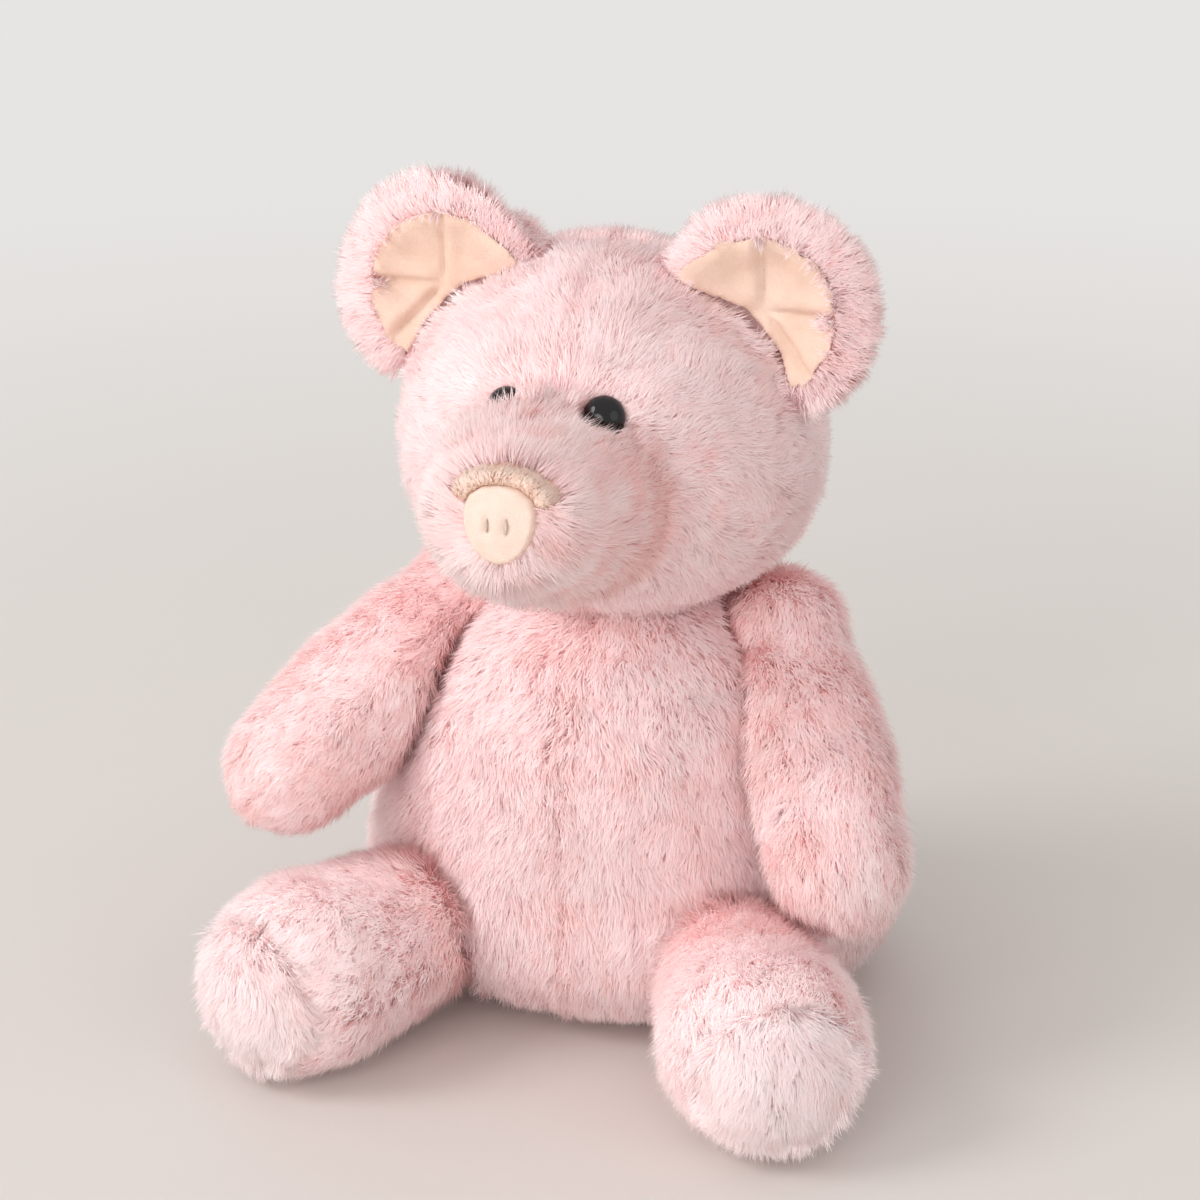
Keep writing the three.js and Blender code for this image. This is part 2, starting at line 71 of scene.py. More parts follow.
camera = add("camera", bpy.data.cameras.new("camera"))
camera.data.sensor_width = 36
camera.data.lens = 98.7
camera.data.clip_end = 20
camera.location = (toy_middle + towards_camera * camera_away
                   - camera_right * camera_leftward + camera_up * camera_upward)
camera.rotation_euler = Matrix((camera_right, camera_up, towards_camera)).transposed().to_euler()
bpy.context.scene.camera = camera

# Torso filling: a loose polyester wadding blown into the sewn cover, over a cotton pouch
# of plastic pellets that keeps the seat down. Neither shows on the finished toy.
filling_gap = 0.0004


def even_grid(node, name, grid, rub):
    """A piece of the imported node's own form, on an even grid with its facets rubbed round."""
    piece = add(name, frame["nodes"][node].data.copy())
    piece.data.materials.clear()
    remesh = piece.modifiers.new("even_grid", "REMESH")
    remesh.mode = "VOXEL"
    remesh.voxel_size = grid
    rubbed = piece.modifiers.new("rubbed", "SMOOTH")
    rubbed.factor = 0.5
    rubbed.iterations = rub
    seen = piece.evaluated_get(bpy.context.evaluated_depsgraph_get())
    mesh = bpy.data.meshes.new_from_object(seen)
    piece.modifiers.clear()
    piece.data = mesh
    mesh.name = name
    mesh.shade_smooth()
    return piece


def places(mesh):
    """The places and the normals of a mesh's vertices."""
    at = np.empty(len(mesh.vertices) * 3, np.float32)
    facing = np.empty(len(mesh.vertices) * 3, np.float32)
    mesh.vertices.foreach_get("co", at)
    mesh.vertex_normals.foreach_get("vector", facing)
    return at.reshape(-1, 3).astype(float), facing.reshape(-1, 3).astype(float)


def lay(mesh, at):
    """Moves a mesh's vertices to their new places."""
    mesh.vertices.foreach_set("co", at.astype(np.float32).ravel())
    mesh.update()


def new_material(name):
    """A node material, its tree and its Principled shader."""
    material = bpy.data.materials.new(name)
    material.use_nodes = True
    return material, material.node_tree, material.node_tree.nodes["Principled BSDF"]


def nap_group():
    """Uneven cloth: a mask of soft blotches, a mask of fine fibres, and both as a height."""
    group = bpy.data.node_groups.new("cloth_nap", "ShaderNodeTree")
    for name in ("Blotch Scale", "Fibre Scale"):
        group.interface.new_socket(name, in_out="INPUT", socket_type="NodeSocketFloat")
    for name in ("Blotches", "Fibres", "Height"):
        group.interface.new_socket(name, in_out="OUTPUT", socket_type="NodeSocketFloat")
    given = group.nodes.new("NodeGroupInput")
    out = group.nodes.new("NodeGroupOutput")
    spot = group.nodes.new("ShaderNodeTexCoord")
    blotches = group.nodes.new("ShaderNodeTexNoise")
    fibres = group.nodes.new("ShaderNodeTexNoise")
    blotches.inputs["Detail"].default_value = 3
    fibres.inputs["Detail"].default_value = 5
    fibres.inputs["Roughness"].default_value = 0.7
    both = group.nodes.new("ShaderNodeMath")
    both.operation = "MULTIPLY_ADD"
    both.inputs[1].default_value = 0.4
    group.links.new(spot.outputs["Object"], blotches.inputs["Vector"])
    group.links.new(spot.outputs["Object"], fibres.inputs["Vector"])
    group.links.new(given.outputs["Blotch Scale"], blotches.inputs["Scale"])
    group.links.new(given.outputs["Fibre Scale"], fibres.inputs["Scale"])
    group.links.new(blotches.outputs["Fac"], both.inputs[0])
    group.links.new(fibres.outputs["Fac"], both.inputs[2])
    group.links.new(blotches.outputs["Fac"], out.inputs["Blotches"])
    group.links.new(fibres.outputs["Fac"], out.inputs["Fibres"])
    group.links.new(both.outputs[0], out.inputs["Height"])
    return group


cloth_nap = nap_group()


def cloth(name, dark, light, blotch_scale, fibre_scale, bump, sheen=0.0, rough=0.9):
    """A plain cloth: two shades mixed by its blotches and fibres, with a raised nap."""
    material, tree, shader = new_material(name)
    nap = tree.nodes.new("ShaderNodeGroup")
    nap.node_tree = cloth_nap
    nap.inputs["Blotch Scale"].default_value = blotch_scale
    nap.inputs["Fibre Scale"].default_value = fibre_scale
    shade = tree.nodes.new("ShaderNodeMath")
    shade.operation = "MULTIPLY"
    shades = tree.nodes.new("ShaderNodeValToRGB")
    for stop, position, colour in zip(shades.color_ramp.elements, (0.12, 0.42), (dark, light)):
        stop.position = position
        stop.color = (*colour, 1)
    raised = tree.nodes.new("ShaderNodeBump")
    raised.inputs["Strength"].default_value = bump
    raised.inputs["Distance"].default_value = 0.0006
    tree.links.new(nap.outputs["Blotches"], shade.inputs[0])
    tree.links.new(nap.outputs["Fibres"], shade.inputs[1])
    tree.links.new(shade.outputs[0], shades.inputs["Fac"])
    tree.links.new(shades.outputs["Color"], shader.inputs["Base Color"])
    tree.links.new(nap.outputs["Height"], raised.inputs["Height"])
    tree.links.new(raised.outputs["Normal"], shader.inputs["Normal"])
    shader.inputs["Roughness"].default_value = rough
    shader.inputs["Sheen Weight"].default_value = sheen
    shader.inputs["Sheen Roughness"].default_value = 0.5
    return material


wadding = cloth("wadding", (0.72, 0.71, 0.68), (0.9, 0.89, 0.86),
                blotch_scale=60, fibre_scale=900, bump=0.6)
pouch_cotton = cloth("pouch_cotton", (0.66, 0.61, 0.5), (0.83, 0.78, 0.67),
                     blotch_scale=90, fibre_scale=2400, bump=0.4)


def fill_with(node, body, material, grid=0.005):
    """The filling of a cover, rounded and a little smaller than the cover's inside."""
    piece = even_grid(node, f"{node}_form", grid, rub=4)
    at, facing = places(piece.data)
    lay(piece.data, at - facing * filling_gap)
    piece.data.materials.append(material)
    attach(piece, body)
    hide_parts(node)


fill_with("torso_stuffing", "torso", wadding)
fill_with("pellet_pouch", "torso", pouch_cotton, grid=0.003)

# Torso cover: two belly panels and two back panels of long-haired plush, sewn together face
# to face and turned. The pile parts along each seam, where its rosy ground shows, and the hairs
# beside it are deepened in tone, partly for their rosier roots and partly as painted shade.
pile_ground = cloth("pile_ground", (0.93, 0.61, 0.6), (0.96, 0.71, 0.7),
                    blotch_scale=70, fibre_scale=1200, bump=0.8)
hair_shades = ("Pale Root", "Pale Tip", "Deep Root", "Deep Tip")


def hair_group():
    """Colour along a pile hair, read from its own map: across is the tone, up is root to tip."""
    group = bpy.data.node_groups.new("hair_colour", "ShaderNodeTree")
    for name in hair_shades:
        group.interface.new_socket(name, in_out="INPUT", socket_type="NodeSocketColor")
    group.interface.new_socket("Color", in_out="OUTPUT", socket_type="NodeSocketColor")
    given = group.nodes.new("NodeGroupInput")
    out = group.nodes.new("NodeGroupOutput")
    hair_map = group.nodes.new("ShaderNodeUVMap")
    hair_map.uv_map = "OFBake"
    parts = group.nodes.new("ShaderNodeSeparateXYZ")
    group.links.new(hair_map.outputs["UV"], parts.inputs[0])

    def between(share, first, second):
        mix = group.nodes.new("ShaderNodeMix")
        mix.data_type = "RGBA"
        group.links.new(share, mix.inputs["Factor"])
        group.links.new(first, mix.inputs[6])
        group.links.new(second, mix.inputs[7])
        return mix.outputs[2]

    pale = between(parts.outputs["Y"], given.outputs["Pale Root"], given.outputs["Pale Tip"])
    deep = between(parts.outputs["Y"], given.outputs["Deep Root"], given.outputs["Deep Tip"])
    group.links.new(between(parts.outputs["X"], pale, deep), out.inputs["Color"])
    return group


hair_colour = hair_group()


def hair(name, *shades):
    """Pile fibre in four shades, matt above, with light that comes through its underside."""
    material, tree, shader = new_material(name)
    colour = tree.nodes.new("ShaderNodeGroup")
    colour.node_tree = hair_colour
    for socket, shade in zip(hair_shades, shades):
        colour.inputs[socket].default_value = (*shade, 1)
    tree.links.new(colour.outputs["Color"], shader.inputs["Base Color"])
    seen = tree.nodes.new("ShaderNodeNewGeometry")
    underside = tree.nodes.new("ShaderNodeBsdfTranslucent")
    sides = tree.nodes.new("ShaderNodeMixShader")
    tree.links.new(colour.outputs["Color"], underside.inputs["Color"])
    tree.links.new(seen.outputs["Backfacing"], sides.inputs["Fac"])
    tree.links.new(shader.outputs["BSDF"], sides.inputs[1])
    tree.links.new(underside.outputs["BSDF"], sides.inputs[2])
    tree.links.new(sides.outputs["Shader"], tree.nodes["Material Output"].inputs["Surface"])
    shader.inputs["Roughness"].default_value = 0.8
    shader.inputs["Specular IOR Level"].default_value = 0
    return material


pink_pile = hair(
    "pink_pile", (0.94, 0.67, 0.67), (0.96, 0.84, 0.84), (0.89, 0.5, 0.49), (0.93, 0.67, 0.66))

ground_depth = 0.0045
valley_depth = 0.0014
valley_width = 0.007


def unit(arrows):
    """The same directions, each one long."""
    return arrows / np.maximum(np.linalg.norm(arrows, axis=1, keepdims=True), 1e-9)


def dot(first, second):
    """Row by row, how far one set of arrows runs along the other."""
    return np.einsum("ij,ij->i", first, second)


def fade(value, start, width):
    """From 0 at the start to 1 a width further on."""
    return np.clip((value - start) / width, 0, 1)


def seam_nearness(at, seams):
    """How near each place is to a seam plane, from 0 to 1, and which side of it to lean to."""
    near = np.zeros(len(at))
    lean = np.zeros_like(at)
    for spot, across, parting in seams:
        off = (at - np.array(spot)) @ np.array(across)
        share = parting * np.exp(-(off / valley_width) ** 2)
        near = np.maximum(near, share)
        lean += (np.sign(off) * share)[:, None] * np.array(across)
    return near, lean


def cut_cover(node, body, core, seams, material=None, grid=0.003, depth=ground_depth):
    """A panel of plush: the ground cloth lies under the pile and sinks in at its seams."""
    piece = even_grid(node, f"{node}_cloth", grid, rub=8)
    at, facing = places(piece.data)
    outside = fade(dot(facing, unit(at - core(at))), start=0.1, width=0.5)
    near, _ = seam_nearness(at, seams)
    lay(piece.data, at - facing * (outside * (depth + valley_depth * near))[:, None])
    piece.data.materials.append(material or pile_ground)
    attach(piece, body)
    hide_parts(node)
    return piece


def mottle(at, size, seed):
    """Soft blotches from 0 to 1, about as wide as size, the same on every run."""
    waves = 7
    random = np.random.default_rng(seed)
    total = np.zeros(len(at))
    for _ in range(waves):
        arrow = random.normal(size=3)
        arrow *= random.uniform(0.7, 1.5) * math.pi / (size * np.linalg.norm(arrow))
        total += np.sin(at @ arrow + random.uniform(0, 2 * math.pi))
    return np.clip(0.5 + total / (waves - 1), 0, 1)


def drift(at, size, seed):
    """A slow wave from -1 to 1 along the cloth, which the brushed pile follows."""
    return 2 * mottle(at, size, seed) - 1


def wall_of(nodes):
    """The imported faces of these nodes, which hairs don't pass through."""
    spots = []
    corners = []
    for node in nodes:
        mesh = frame["nodes"][node].data
        start = len(spots)
        spots.extend(vertex.co.copy() for vertex in mesh.vertices)
        corners.extend([start + k for k in face.vertices] for face in mesh.polygons)
    return BVHTree.FromPolygons(spots, corners)


hairs_per_mm2 = 3.0
least_facing_out = 0.25
crowd_at_seams = 5
push_from_seams = 0.9
shorter_at_seams = 0.25
tuft_fray = 0.16
tuft_swing, hair_swing = 0.2, 0.22
tuft_tilt, hair_tilt, slow_tilt = 6, 9, 9
least_tilt, most_tilt = 0.15, 1.45
short_of_wall = 0.92
above_table = 0.0008
shortest_hair = 0.0022
twist_spread = 0.35
narrower_at_bow = 0.85
tuft_tone, hair_tone, patch_tone, wide_tone = 0.12, 0.12, 0.14, 0.3
ribbon_faces = np.array([[0, 1, 2], [1, 3, 2], [2, 3, 4]])
ribbon_heights = np.array([0.03, 0.03, 0.55, 0.55, 0.97])
seed_of_pile = 11


def sow(base, core, seams, where, density, random):
    """Roots spread over a panel's outer side, closer at its seams, and the normals there."""
    mesh = base.data
    mesh.calc_loop_triangles()
    corners = np.empty(len(mesh.loop_triangles) * 3, np.int32)
    mesh.loop_triangles.foreach_get("vertices", corners)
    corners = corners.reshape(-1, 3)
    at, facing = places(mesh)
    a, b, c = at[corners[:, 0]], at[corners[:, 1]], at[corners[:, 2]]
    across = np.cross(b - a, c - a)
    area = np.linalg.norm(across, axis=1) / 2
    middle = (a + b + c) / 3
    outward = dot(unit(across), unit(middle - core(middle))) > least_facing_out
    weight = area * outward * (1 + crowd_at_seams * seam_nearness(middle, seams)[0])
    if where:
        weight = weight * where(middle)
    count = int(weight.sum() * 1e6 * hairs_per_mm2 * density)
    chosen = random.choice(len(corners), count, p=weight / weight.sum())
    u = random.random(count)
    v = random.random(count)
    over = u + v > 1
    u[over], v[over] = 1 - u[over], 1 - v[over]
    parts = np.stack([1 - u - v, u, v], axis=1)[:, :, None]
    root = (at[corners[chosen]] * parts).sum(1)
    return root, unit((facing[corners[chosen]] * parts).sum(1))


def gather_tufts(root, tuft, random):
    """The tuft that each hair belongs to, the number of tufts, and the heart of each."""
    cell = np.floor((root + random.normal(scale=tuft * tuft_fray, size=root.shape)) / tuft)
    cell = cell.astype(np.int64)
    keys = cell[:, 0] * 1000003 + cell[:, 1] * 10007 + cell[:, 2]
    _, member = np.unique(keys, return_inverse=True)
    tufts = member.max() + 1
    held = np.bincount(member, minlength=tufts)
    heart = np.stack([np.bincount(member, root[:, k], tufts) / held for k in range(3)], axis=1)
    return member, tufts, heart


def free_share(root, way, tall, walls, trims):
    """The share of each hair that stays clear of the walls, the round trims and the table."""
    reach = np.ones(len(root))
    if walls:
        wall = wall_of(walls)
        for k in range(len(root)):
            _, _, _, gap = wall.ray_cast(root[k], way[k], tall[k] * 1.05)
            if gap is not None:
                reach[k] = short_of_wall * gap / tall[k]
    for spot, radius in trims:
        off = root - np.array(spot)
        along = dot(off, way)
        left = along ** 2 - dot(off, off) + radius ** 2
        entry = np.where(left > 0, -along - np.sqrt(np.maximum(left, 0)), 1.0)
        behind = (left > 0) & (entry < 0) & (np.linalg.norm(off, axis=1) > radius)
        entry = np.where(behind, 1.0, entry)
        reach = np.minimum(reach, np.clip(entry / tall, 0, 1))
    falling = np.maximum(-way[:, 2] * tall, 1e-6)
    return np.minimum(reach, np.clip((root[:, 2] - above_table) / falling, 0, 1))


def ribbons(root, way, normal, tall, thick, random):
    """Each hair as a bowed ribbon of five corners, pointed at its tip, its face outward."""
    count = len(root)
    across = unit(np.cross(way, normal))
    lift = unit(np.cross(across, way))
    lift *= np.sign(dot(lift, normal))[:, None]
    twist = random.normal(scale=twist_spread, size=count)[:, None]
    across = across * np.cos(twist) + lift * np.sin(twist)
    width = thick * (0.8 + 0.4 * random.random(count))[:, None]
    tall = tall[:, None]
    bow = root + way * tall * 0.5 + lift * tall * (0.1 + 0.06 * random.random(count))[:, None]
    spots = np.stack([
        root - across * width, root + across * width,
        bow - across * width * narrower_at_bow, bow + across * width * narrower_at_bow,
        root + way * tall,
    ], axis=1)
    facing_out = np.cross(spots[:, 1] - spots[:, 0], spots[:, 2] - spots[:, 0])
    backward = dot(facing_out, normal) < 0
    spots[backward] = spots[backward][:, [1, 0, 3, 2, 4]]
    return spots


def hair_mesh(name, spots, shade, soft):
    """One mesh of all ribbons, with their tone and height in its map and soft normals."""
    count = len(spots)
    faces = (np.arange(count)[:, None, None] * 5 + ribbon_faces[None]).reshape(-1, 3)
    pile = bpy.data.meshes.new(name)
    pile.vertices.add(count * 5)
    pile.vertices.foreach_set("co", spots.astype(np.float32).ravel())
    pile.loops.add(count * 9)
    pile.loops.foreach_set("vertex_index", faces.astype(np.int32).ravel())
    pile.polygons.add(count * 3)
    pile.polygons.foreach_set("loop_start", np.arange(0, count * 9, 3, dtype=np.int32))
    pile.update(calc_edges=True)
    hair_map = np.zeros((count, 5, 2))
    hair_map[:, :, 0] = shade[:, None]
    hair_map[:, :, 1] = ribbon_heights[None]
    hair_map = hair_map.reshape(-1, 2)[faces.ravel()]
    layer = pile.uv_layers.new(name="OFBake")
    layer.uv.foreach_set("vector", hair_map.astype(np.float32).ravel())
    pile.shade_smooth()
    pile.normals_split_custom_set_from_vertices(np.repeat(soft, 5, axis=0))
    return pile


def given_at(value, at):
    """A value that is either the same all over or worked out for each place."""
    return value(at) if callable(value) else value


def set_pile(base, body, core, comb, seams, walls, tone=0.3, length=0.0105, lean=50,
             material=None, thick=0.00021, density=1.0, tuft=0.004, gather=0.18, where=None,
             trims=(), wild=0.32, name="pile"):
    """Hairs of plush on a panel, combed, tufted, parted at the seams and kept off the walls."""
    global seed_of_pile
    seed_of_pile += 1
    random = np.random.default_rng(seed_of_pile)
    root, normal = sow(base, core, seams, where, density, random)
    count = len(root)
    near, away = seam_nearness(root, seams)
    flow = comb(root, normal) + away * push_from_seams
    flow -= normal * dot(flow, normal)[:, None]
    flow = unit(flow)
    side = np.cross(normal, flow)
    member, tufts, heart = gather_tufts(root, tuft, random)
    swing = random.normal(scale=tuft_swing, size=tufts)[member]
    swing = swing + random.normal(scale=hair_swing, size=count)
    swing += wild * (1.1 * drift(root, 0.022, 21) + 0.6 * drift(root, 0.011, 22))
    rise = given_at(lean, root) + random.normal(scale=tuft_tilt, size=tufts)[member]
    rise = rise + random.normal(scale=hair_tilt, size=count)
    rise = np.radians(rise + slow_tilt * drift(root, 0.018, 23))
    rise = np.clip(rise, least_tilt, most_tilt)
    swung = flow * np.cos(swing)[:, None] + side * np.sin(swing)[:, None]
    way = normal * np.cos(rise)[:, None] + swung * np.sin(rise)[:, None]
    tall = given_at(length, root) * (0.78 + 0.22 * random.random(count))
    tall *= 1 - shorter_at_seams * near
    tall *= 0.9 + 0.2 * random.random(tufts)[member]
    tip = root + way * tall[:, None] + (heart[member] - root) * gather
    way = tip - root
    tall = np.linalg.norm(way, axis=1)
    way = unit(way)

    reach = free_share(root, way, tall, walls, trims)
    keep = reach * tall > np.minimum(shortest_hair, 0.4 * tall)
    root, way, normal, tall = root[keep], way[keep], normal[keep], (tall * reach)[keep]
    near, member = near[keep], member[keep]
    spots = ribbons(root, way, normal, tall, thick, random)
    # Near each seam the hairs are deepened in tone: partly the rosier roots that show in a parting, partly painted
    # shade in the seam's crease.
    shade = given_at(tone, root) + near + wide_tone * (mottle(root, 0.03, 5) - 0.5)
    shade = shade + tuft_tone * random.normal(size=tufts)[member]
    shade = shade + hair_tone * random.normal(size=len(root))
    shade = np.clip(shade + patch_tone * drift(root, 0.009, 6), 0.02, 0.98)
    soft = unit(normal + 0.35 * way + 0.09 * random.normal(size=way.shape))
    pile = hair_mesh(f"{base.name}_{name}", spots, shade, soft)
    piece = add(f"{base.name}_{name}", pile)
    pile.materials.append(material or pink_pile)
    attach(piece, body)


torso_low, torso_high = 0.05, 0.15
neck_height = 0.19
neck_forward = 0.024


def torso_core(at):
    """The nearest place on the torso's middle line, which leans forward towards the neck."""
    height = np.clip(at[:, 2], torso_low, torso_high)
    lean = fade(at[:, 2] / neck_height, start=0.3, width=0.44)
    lean = lean * lean * (3 - 2 * lean)
    return np.stack([
        np.full(len(at), toy_middle.x), toy_middle.y - neck_forward * lean, height], axis=1)


def combed_down(at, normal):
    """Brushed down, and outward from the toy's middle where the cloth lies level."""
    out = np.stack([at[:, 0] - toy_middle.x, at[:, 1] - toy_middle.y, np.zeros(len(at))], axis=1)
    return np.array([0.0, 0.0, -1.0]) + out * 2.5


bodies = frame["record"]["behaviour"]["bodies"]
torso_panels = ["belly_left", "belly_right", "back_left", "back_right"]
limbs = [node for body in ("arm_left", "arm_right", "leg_left", "leg_right")
         for node in bodies[body]]
torso_walls = limbs + [node for node in bodies["head"] if node.startswith(("face", "head_back"))]
torso_seams = [((toy_middle.x, 0, 0), (1, 0, 0), 0.15), ((0, toy_middle.y, 0), (0, 1, 0), 0.12)]
for torso_panel in torso_panels:
    torso_cloth = cut_cover(torso_panel, "torso", torso_core, torso_seams)
    set_pile(torso_cloth, "torso", torso_core, combed_down, torso_seams,
             torso_walls, lean=56, density=0.68, thick=0.00024)

# Tail: a narrow tube of the same plush, turned, drawn by its own seam into a loose curl and
# caught in the middle seam of the back.
tail_depth = 0.0018


def everywhere(spot):
    """The same spot, whatever place it is asked for."""
    return lambda at: np.tile(spot, (len(at), 1))


tail_cloth = cut_cover("tail", "torso", torso_core, [], grid=0.0015, depth=0.0)
tail_at, tail_facing = places(tail_cloth.data)
lay(tail_cloth.data, tail_at - tail_facing * tail_depth)
set_pile(tail_cloth, "torso", everywhere(tail_at.mean(0)), combed_down, [], [],
         length=0.0075, lean=42, density=2.0)

# Arms: an outer and an inner panel sewn round a firm filling, closed at the paw and set into
# the shoulder on a round root. A crease runs down the sewn edge.
arm_core_length = 0.104
limb_pile = hair(
    "limb_pile", (0.97, 0.76, 0.76), (0.98, 0.88, 0.88), (0.9, 0.52, 0.51), (0.93, 0.68, 0.67))


def limb_core(hinge, length, way):
    """The nearest place on a limb's middle line, from its hinge towards its far end."""
    start = np.array(hinge)
    way = np.array(way)
    return lambda at: start + np.clip((at - start) @ way, 0, length)[:, None] * way


def limb_way(side, spread, swing):
    """The direction a hanging arm points to, spread to its side and swung forward."""
    turn = Matrix.Rotation(-side * math.radians(spread), 3, "Y")
    turn @= Matrix.Rotation(math.pi - math.radians(swing), 3, "X")
    return turn @ Vector((0, 0, 1)), turn @ Vector((1, 0, 0))


def combed_along(way, fall):
    """Brushed along a limb, and falling a little."""
    brushed = np.array(way) + np.array([0, 0, -fall])
    return lambda at, normal: np.tile(brushed, (len(at), 1))


def painted_shade_along(hinge, way, near_end, far_end, first, last):
    """The pile's tone from a limb's root to its tip: deeper near the body as painted shade, paler towards the tip.
    """
    start = np.array(hinge)
    return lambda at: first + (last - first) * fade(
        (at - start) @ np.array(way), near_end, far_end - near_end)


def walls_round(body):
    """What a limb's hairs can meet: all that the other bodies carry, but filling and eyes."""
    return [node for other, nodes in bodies.items() if other != body for node in nodes
            if not node.endswith(("stuffing", "pouch")) and "eye" not in node]


for side_name, side, spread, swing in (("left", 1, 33, 42), ("right", -1, 44, 48)):
    arm = f"arm_{side_name}"
    shoulder = hinges[f"shoulder_{side_name}"]
    arm_way, arm_across = limb_way(side, spread, swing)
    arm_core = limb_core(shoulder, arm_core_length, arm_way)
    arm_seams = [(shoulder, arm_across, 0.15)]
    arm_walls = walls_round(arm)
    # Deeper towards the shoulder: painted shade where the arm meets the body.
    arm_tone = painted_shade_along(shoulder, arm_way, near_end=0.0, far_end=0.11, first=0.62, last=0.48)
    fill_with(f"{arm}_stuffing", arm, wadding)
    for panel in ("outer", "inner"):
        arm_cloth = cut_cover(f"{arm}_{panel}", arm, arm_core, arm_seams)
        set_pile(arm_cloth, arm, arm_core, combed_along(arm_way, fall=0.25),
                 arm_seams, arm_walls, tone=arm_tone, lean=56, gather=0.13, material=limb_pile)

# Legs: a top and an under panel, closed at the foot by a round sole that is sewn in last.
leg_splay = math.radians(26)
leg_core_length = 0.086
sole_seam_ahead = 0.109
sole_heart_ahead = 0.11
sole_heart_up = 0.056
leg_ground = cloth("leg_ground", (0.95, 0.71, 0.7), (0.97, 0.8, 0.79),
                   blotch_scale=70, fibre_scale=1200, bump=0.8)


def combed_from(heart):
    """Brushed away from one spot of a sole, and falling a little."""
    return lambda at, normal: (at - np.array(heart)) * 30 + np.array([0, 0, -0.3])


for side_name, side in (("left", 1), ("right", -1)):
    leg = f"leg_{side_name}"
    hip = hinges[f"hip_{side_name}"]
    leg_way = Vector((side * math.sin(leg_splay), -math.cos(leg_splay), 0))
    leg_core = limb_core(hip, leg_core_length, leg_way)
    leg_seams = [(hip + leg_way * sole_seam_ahead, leg_way, 0.1)]
    leg_walls = walls_round(leg)
    # Deeper towards the hip and pale at the foot: painted shade near the body, fading out towards the foot.
    leg_tone = painted_shade_along(hip, leg_way, near_end=0.02, far_end=0.07, first=0.7, last=0.0)
    fill_with(f"{leg}_stuffing", leg, wadding)
    for panel in ("top", "under"):
        leg_cloth = cut_cover(
            f"{leg}_{panel}", leg, leg_core, leg_seams, leg_ground)
        set_pile(leg_cloth, leg, leg_core, combed_along(leg_way, fall=0.3),
                 leg_seams, leg_walls, tone=leg_tone, length=0.0115, lean=56, gather=0.06,
                 material=limb_pile)
    sole_cloth = cut_cover(f"{leg}_sole", leg, leg_core, leg_seams, leg_ground)
    sole_heart = hip + leg_way * sole_heart_ahead + Vector((0, 0, sole_heart_up))
    set_pile(sole_cloth, leg, leg_core, combed_from(sole_heart), leg_seams,
             leg_walls, tone=leg_tone, length=0.0115, lean=48, gather=0.06, wild=0.6,
             material=limb_pile)

# Head: two face panels and two back panels round a firm ball of wadding, closed with a ladder
# stitch at the neck. The pile is brushed back from the snout.
head_middle = np.array(toy_middle) + np.array([0, -0.034, 0.244])
snout_spot = np.array(toy_middle) + np.array([0, -0.161, 0.245])
head_core = everywhere(head_middle)


def combed_back(at, normal):
    """Brushed back from the snout, and falling a little."""
    return unit(at - snout_spot) + np.array([0, 0, -0.15])


eye_spots = []
head_half = np.array([0.084, 0.079, 0.074])
head_taper = 0.08
eye_aside = 0.0195
eye_rise = 0.026
for side in (1, -1):
    half_wide = head_half[0] * (1 - head_taper * eye_rise / head_half[2])
    level = 1 - (eye_aside / half_wide) ** 2 - (eye_rise / head_half[2]) ** 2
    eye_out = np.array([side * eye_aside, -head_half[1] * math.sqrt(level), eye_rise])
    eye_facing = eye_out / head_half ** 2
    eye_facing /= np.linalg.norm(eye_facing)
    eye_spots.append((head_middle + eye_out, eye_facing))
round_the_eyes = [(eye_spots[0][0] + eye_spots[0][1] * 0.004, 0.0098),
                  (eye_spots[1][0] + eye_spots[1][1] * 0.001, 0.0020)]
head_seams = [((toy_middle.x, 0, 0), (1, 0, 0), 0.2), ((0, head_middle[1], 0), (0, 1, 0), 0.12)]
head_walls = torso_panels + limbs + ["eye_left", "eye_right", "ear_left", "ear_right"]
fill_with("head_stuffing", "head", wadding)
for head_panel in ("face_left", "face_right", "head_back_left", "head_back_right"):
    head_cloth = cut_cover(head_panel, "head", head_core, head_seams)
    set_pile(head_cloth, "head", head_core, combed_back, head_seams, head_walls,
             tone=0.25, lean=57, trims=round_the_eyes, wild=0.6, tuft=0.005)

# Muzzle: a barrel of longer plush, a little deeper in colour, sewn to the face round its root
# and brushed back from the snout.
muzzle_pile = hair(
    "muzzle_pile", (0.94, 0.66, 0.65), (0.95, 0.81, 0.8), (0.88, 0.44, 0.42), (0.91, 0.6, 0.58))
muzzle_lift = math.radians(8)
muzzle_way = np.array([0, -math.cos(muzzle_lift), math.sin(muzzle_lift)])
muzzle_up = np.array([0, math.sin(muzzle_lift), math.cos(muzzle_lift)])
muzzle_root = np.array(toy_middle) + np.array([0, -0.074, 0.233])
muzzle_core_length = 0.06
muzzle_core = limb_core(muzzle_root, muzzle_core_length, muzzle_way)


def front_of_muzzle(at):
    """From 0 on the barrel to 1 on the flat ring round the pad."""
    return fade((at - muzzle_root) @ muzzle_way, start=0.0765, width=0.004)


def crowd_at_front(at):
    """How much closer the hairs stand on the ring and where the barrel turns into it."""
    return 1 + 1.6 * fade((at - muzzle_root) @ muzzle_way, start=0.064, width=0.008)


def muzzle_tone_and_painted_light(at):
    """Painted shade on the toy's left, away from the window lamp, and painted light on its right and round the
    pad, in soft patches.
    """
    aside = np.clip((at[:, 0] - muzzle_root[0]) / 0.035, -1, 1)
    patches = 0.26 * drift(at, 0.009, 61)
    return 0.36 + patches + 0.16 * aside - 0.2 * front_of_muzzle(at)


def lean_of_muzzle(at):
    """Laid down along the barrel, and half upright on the ring."""
    return 60 - 30 * front_of_muzzle(at)


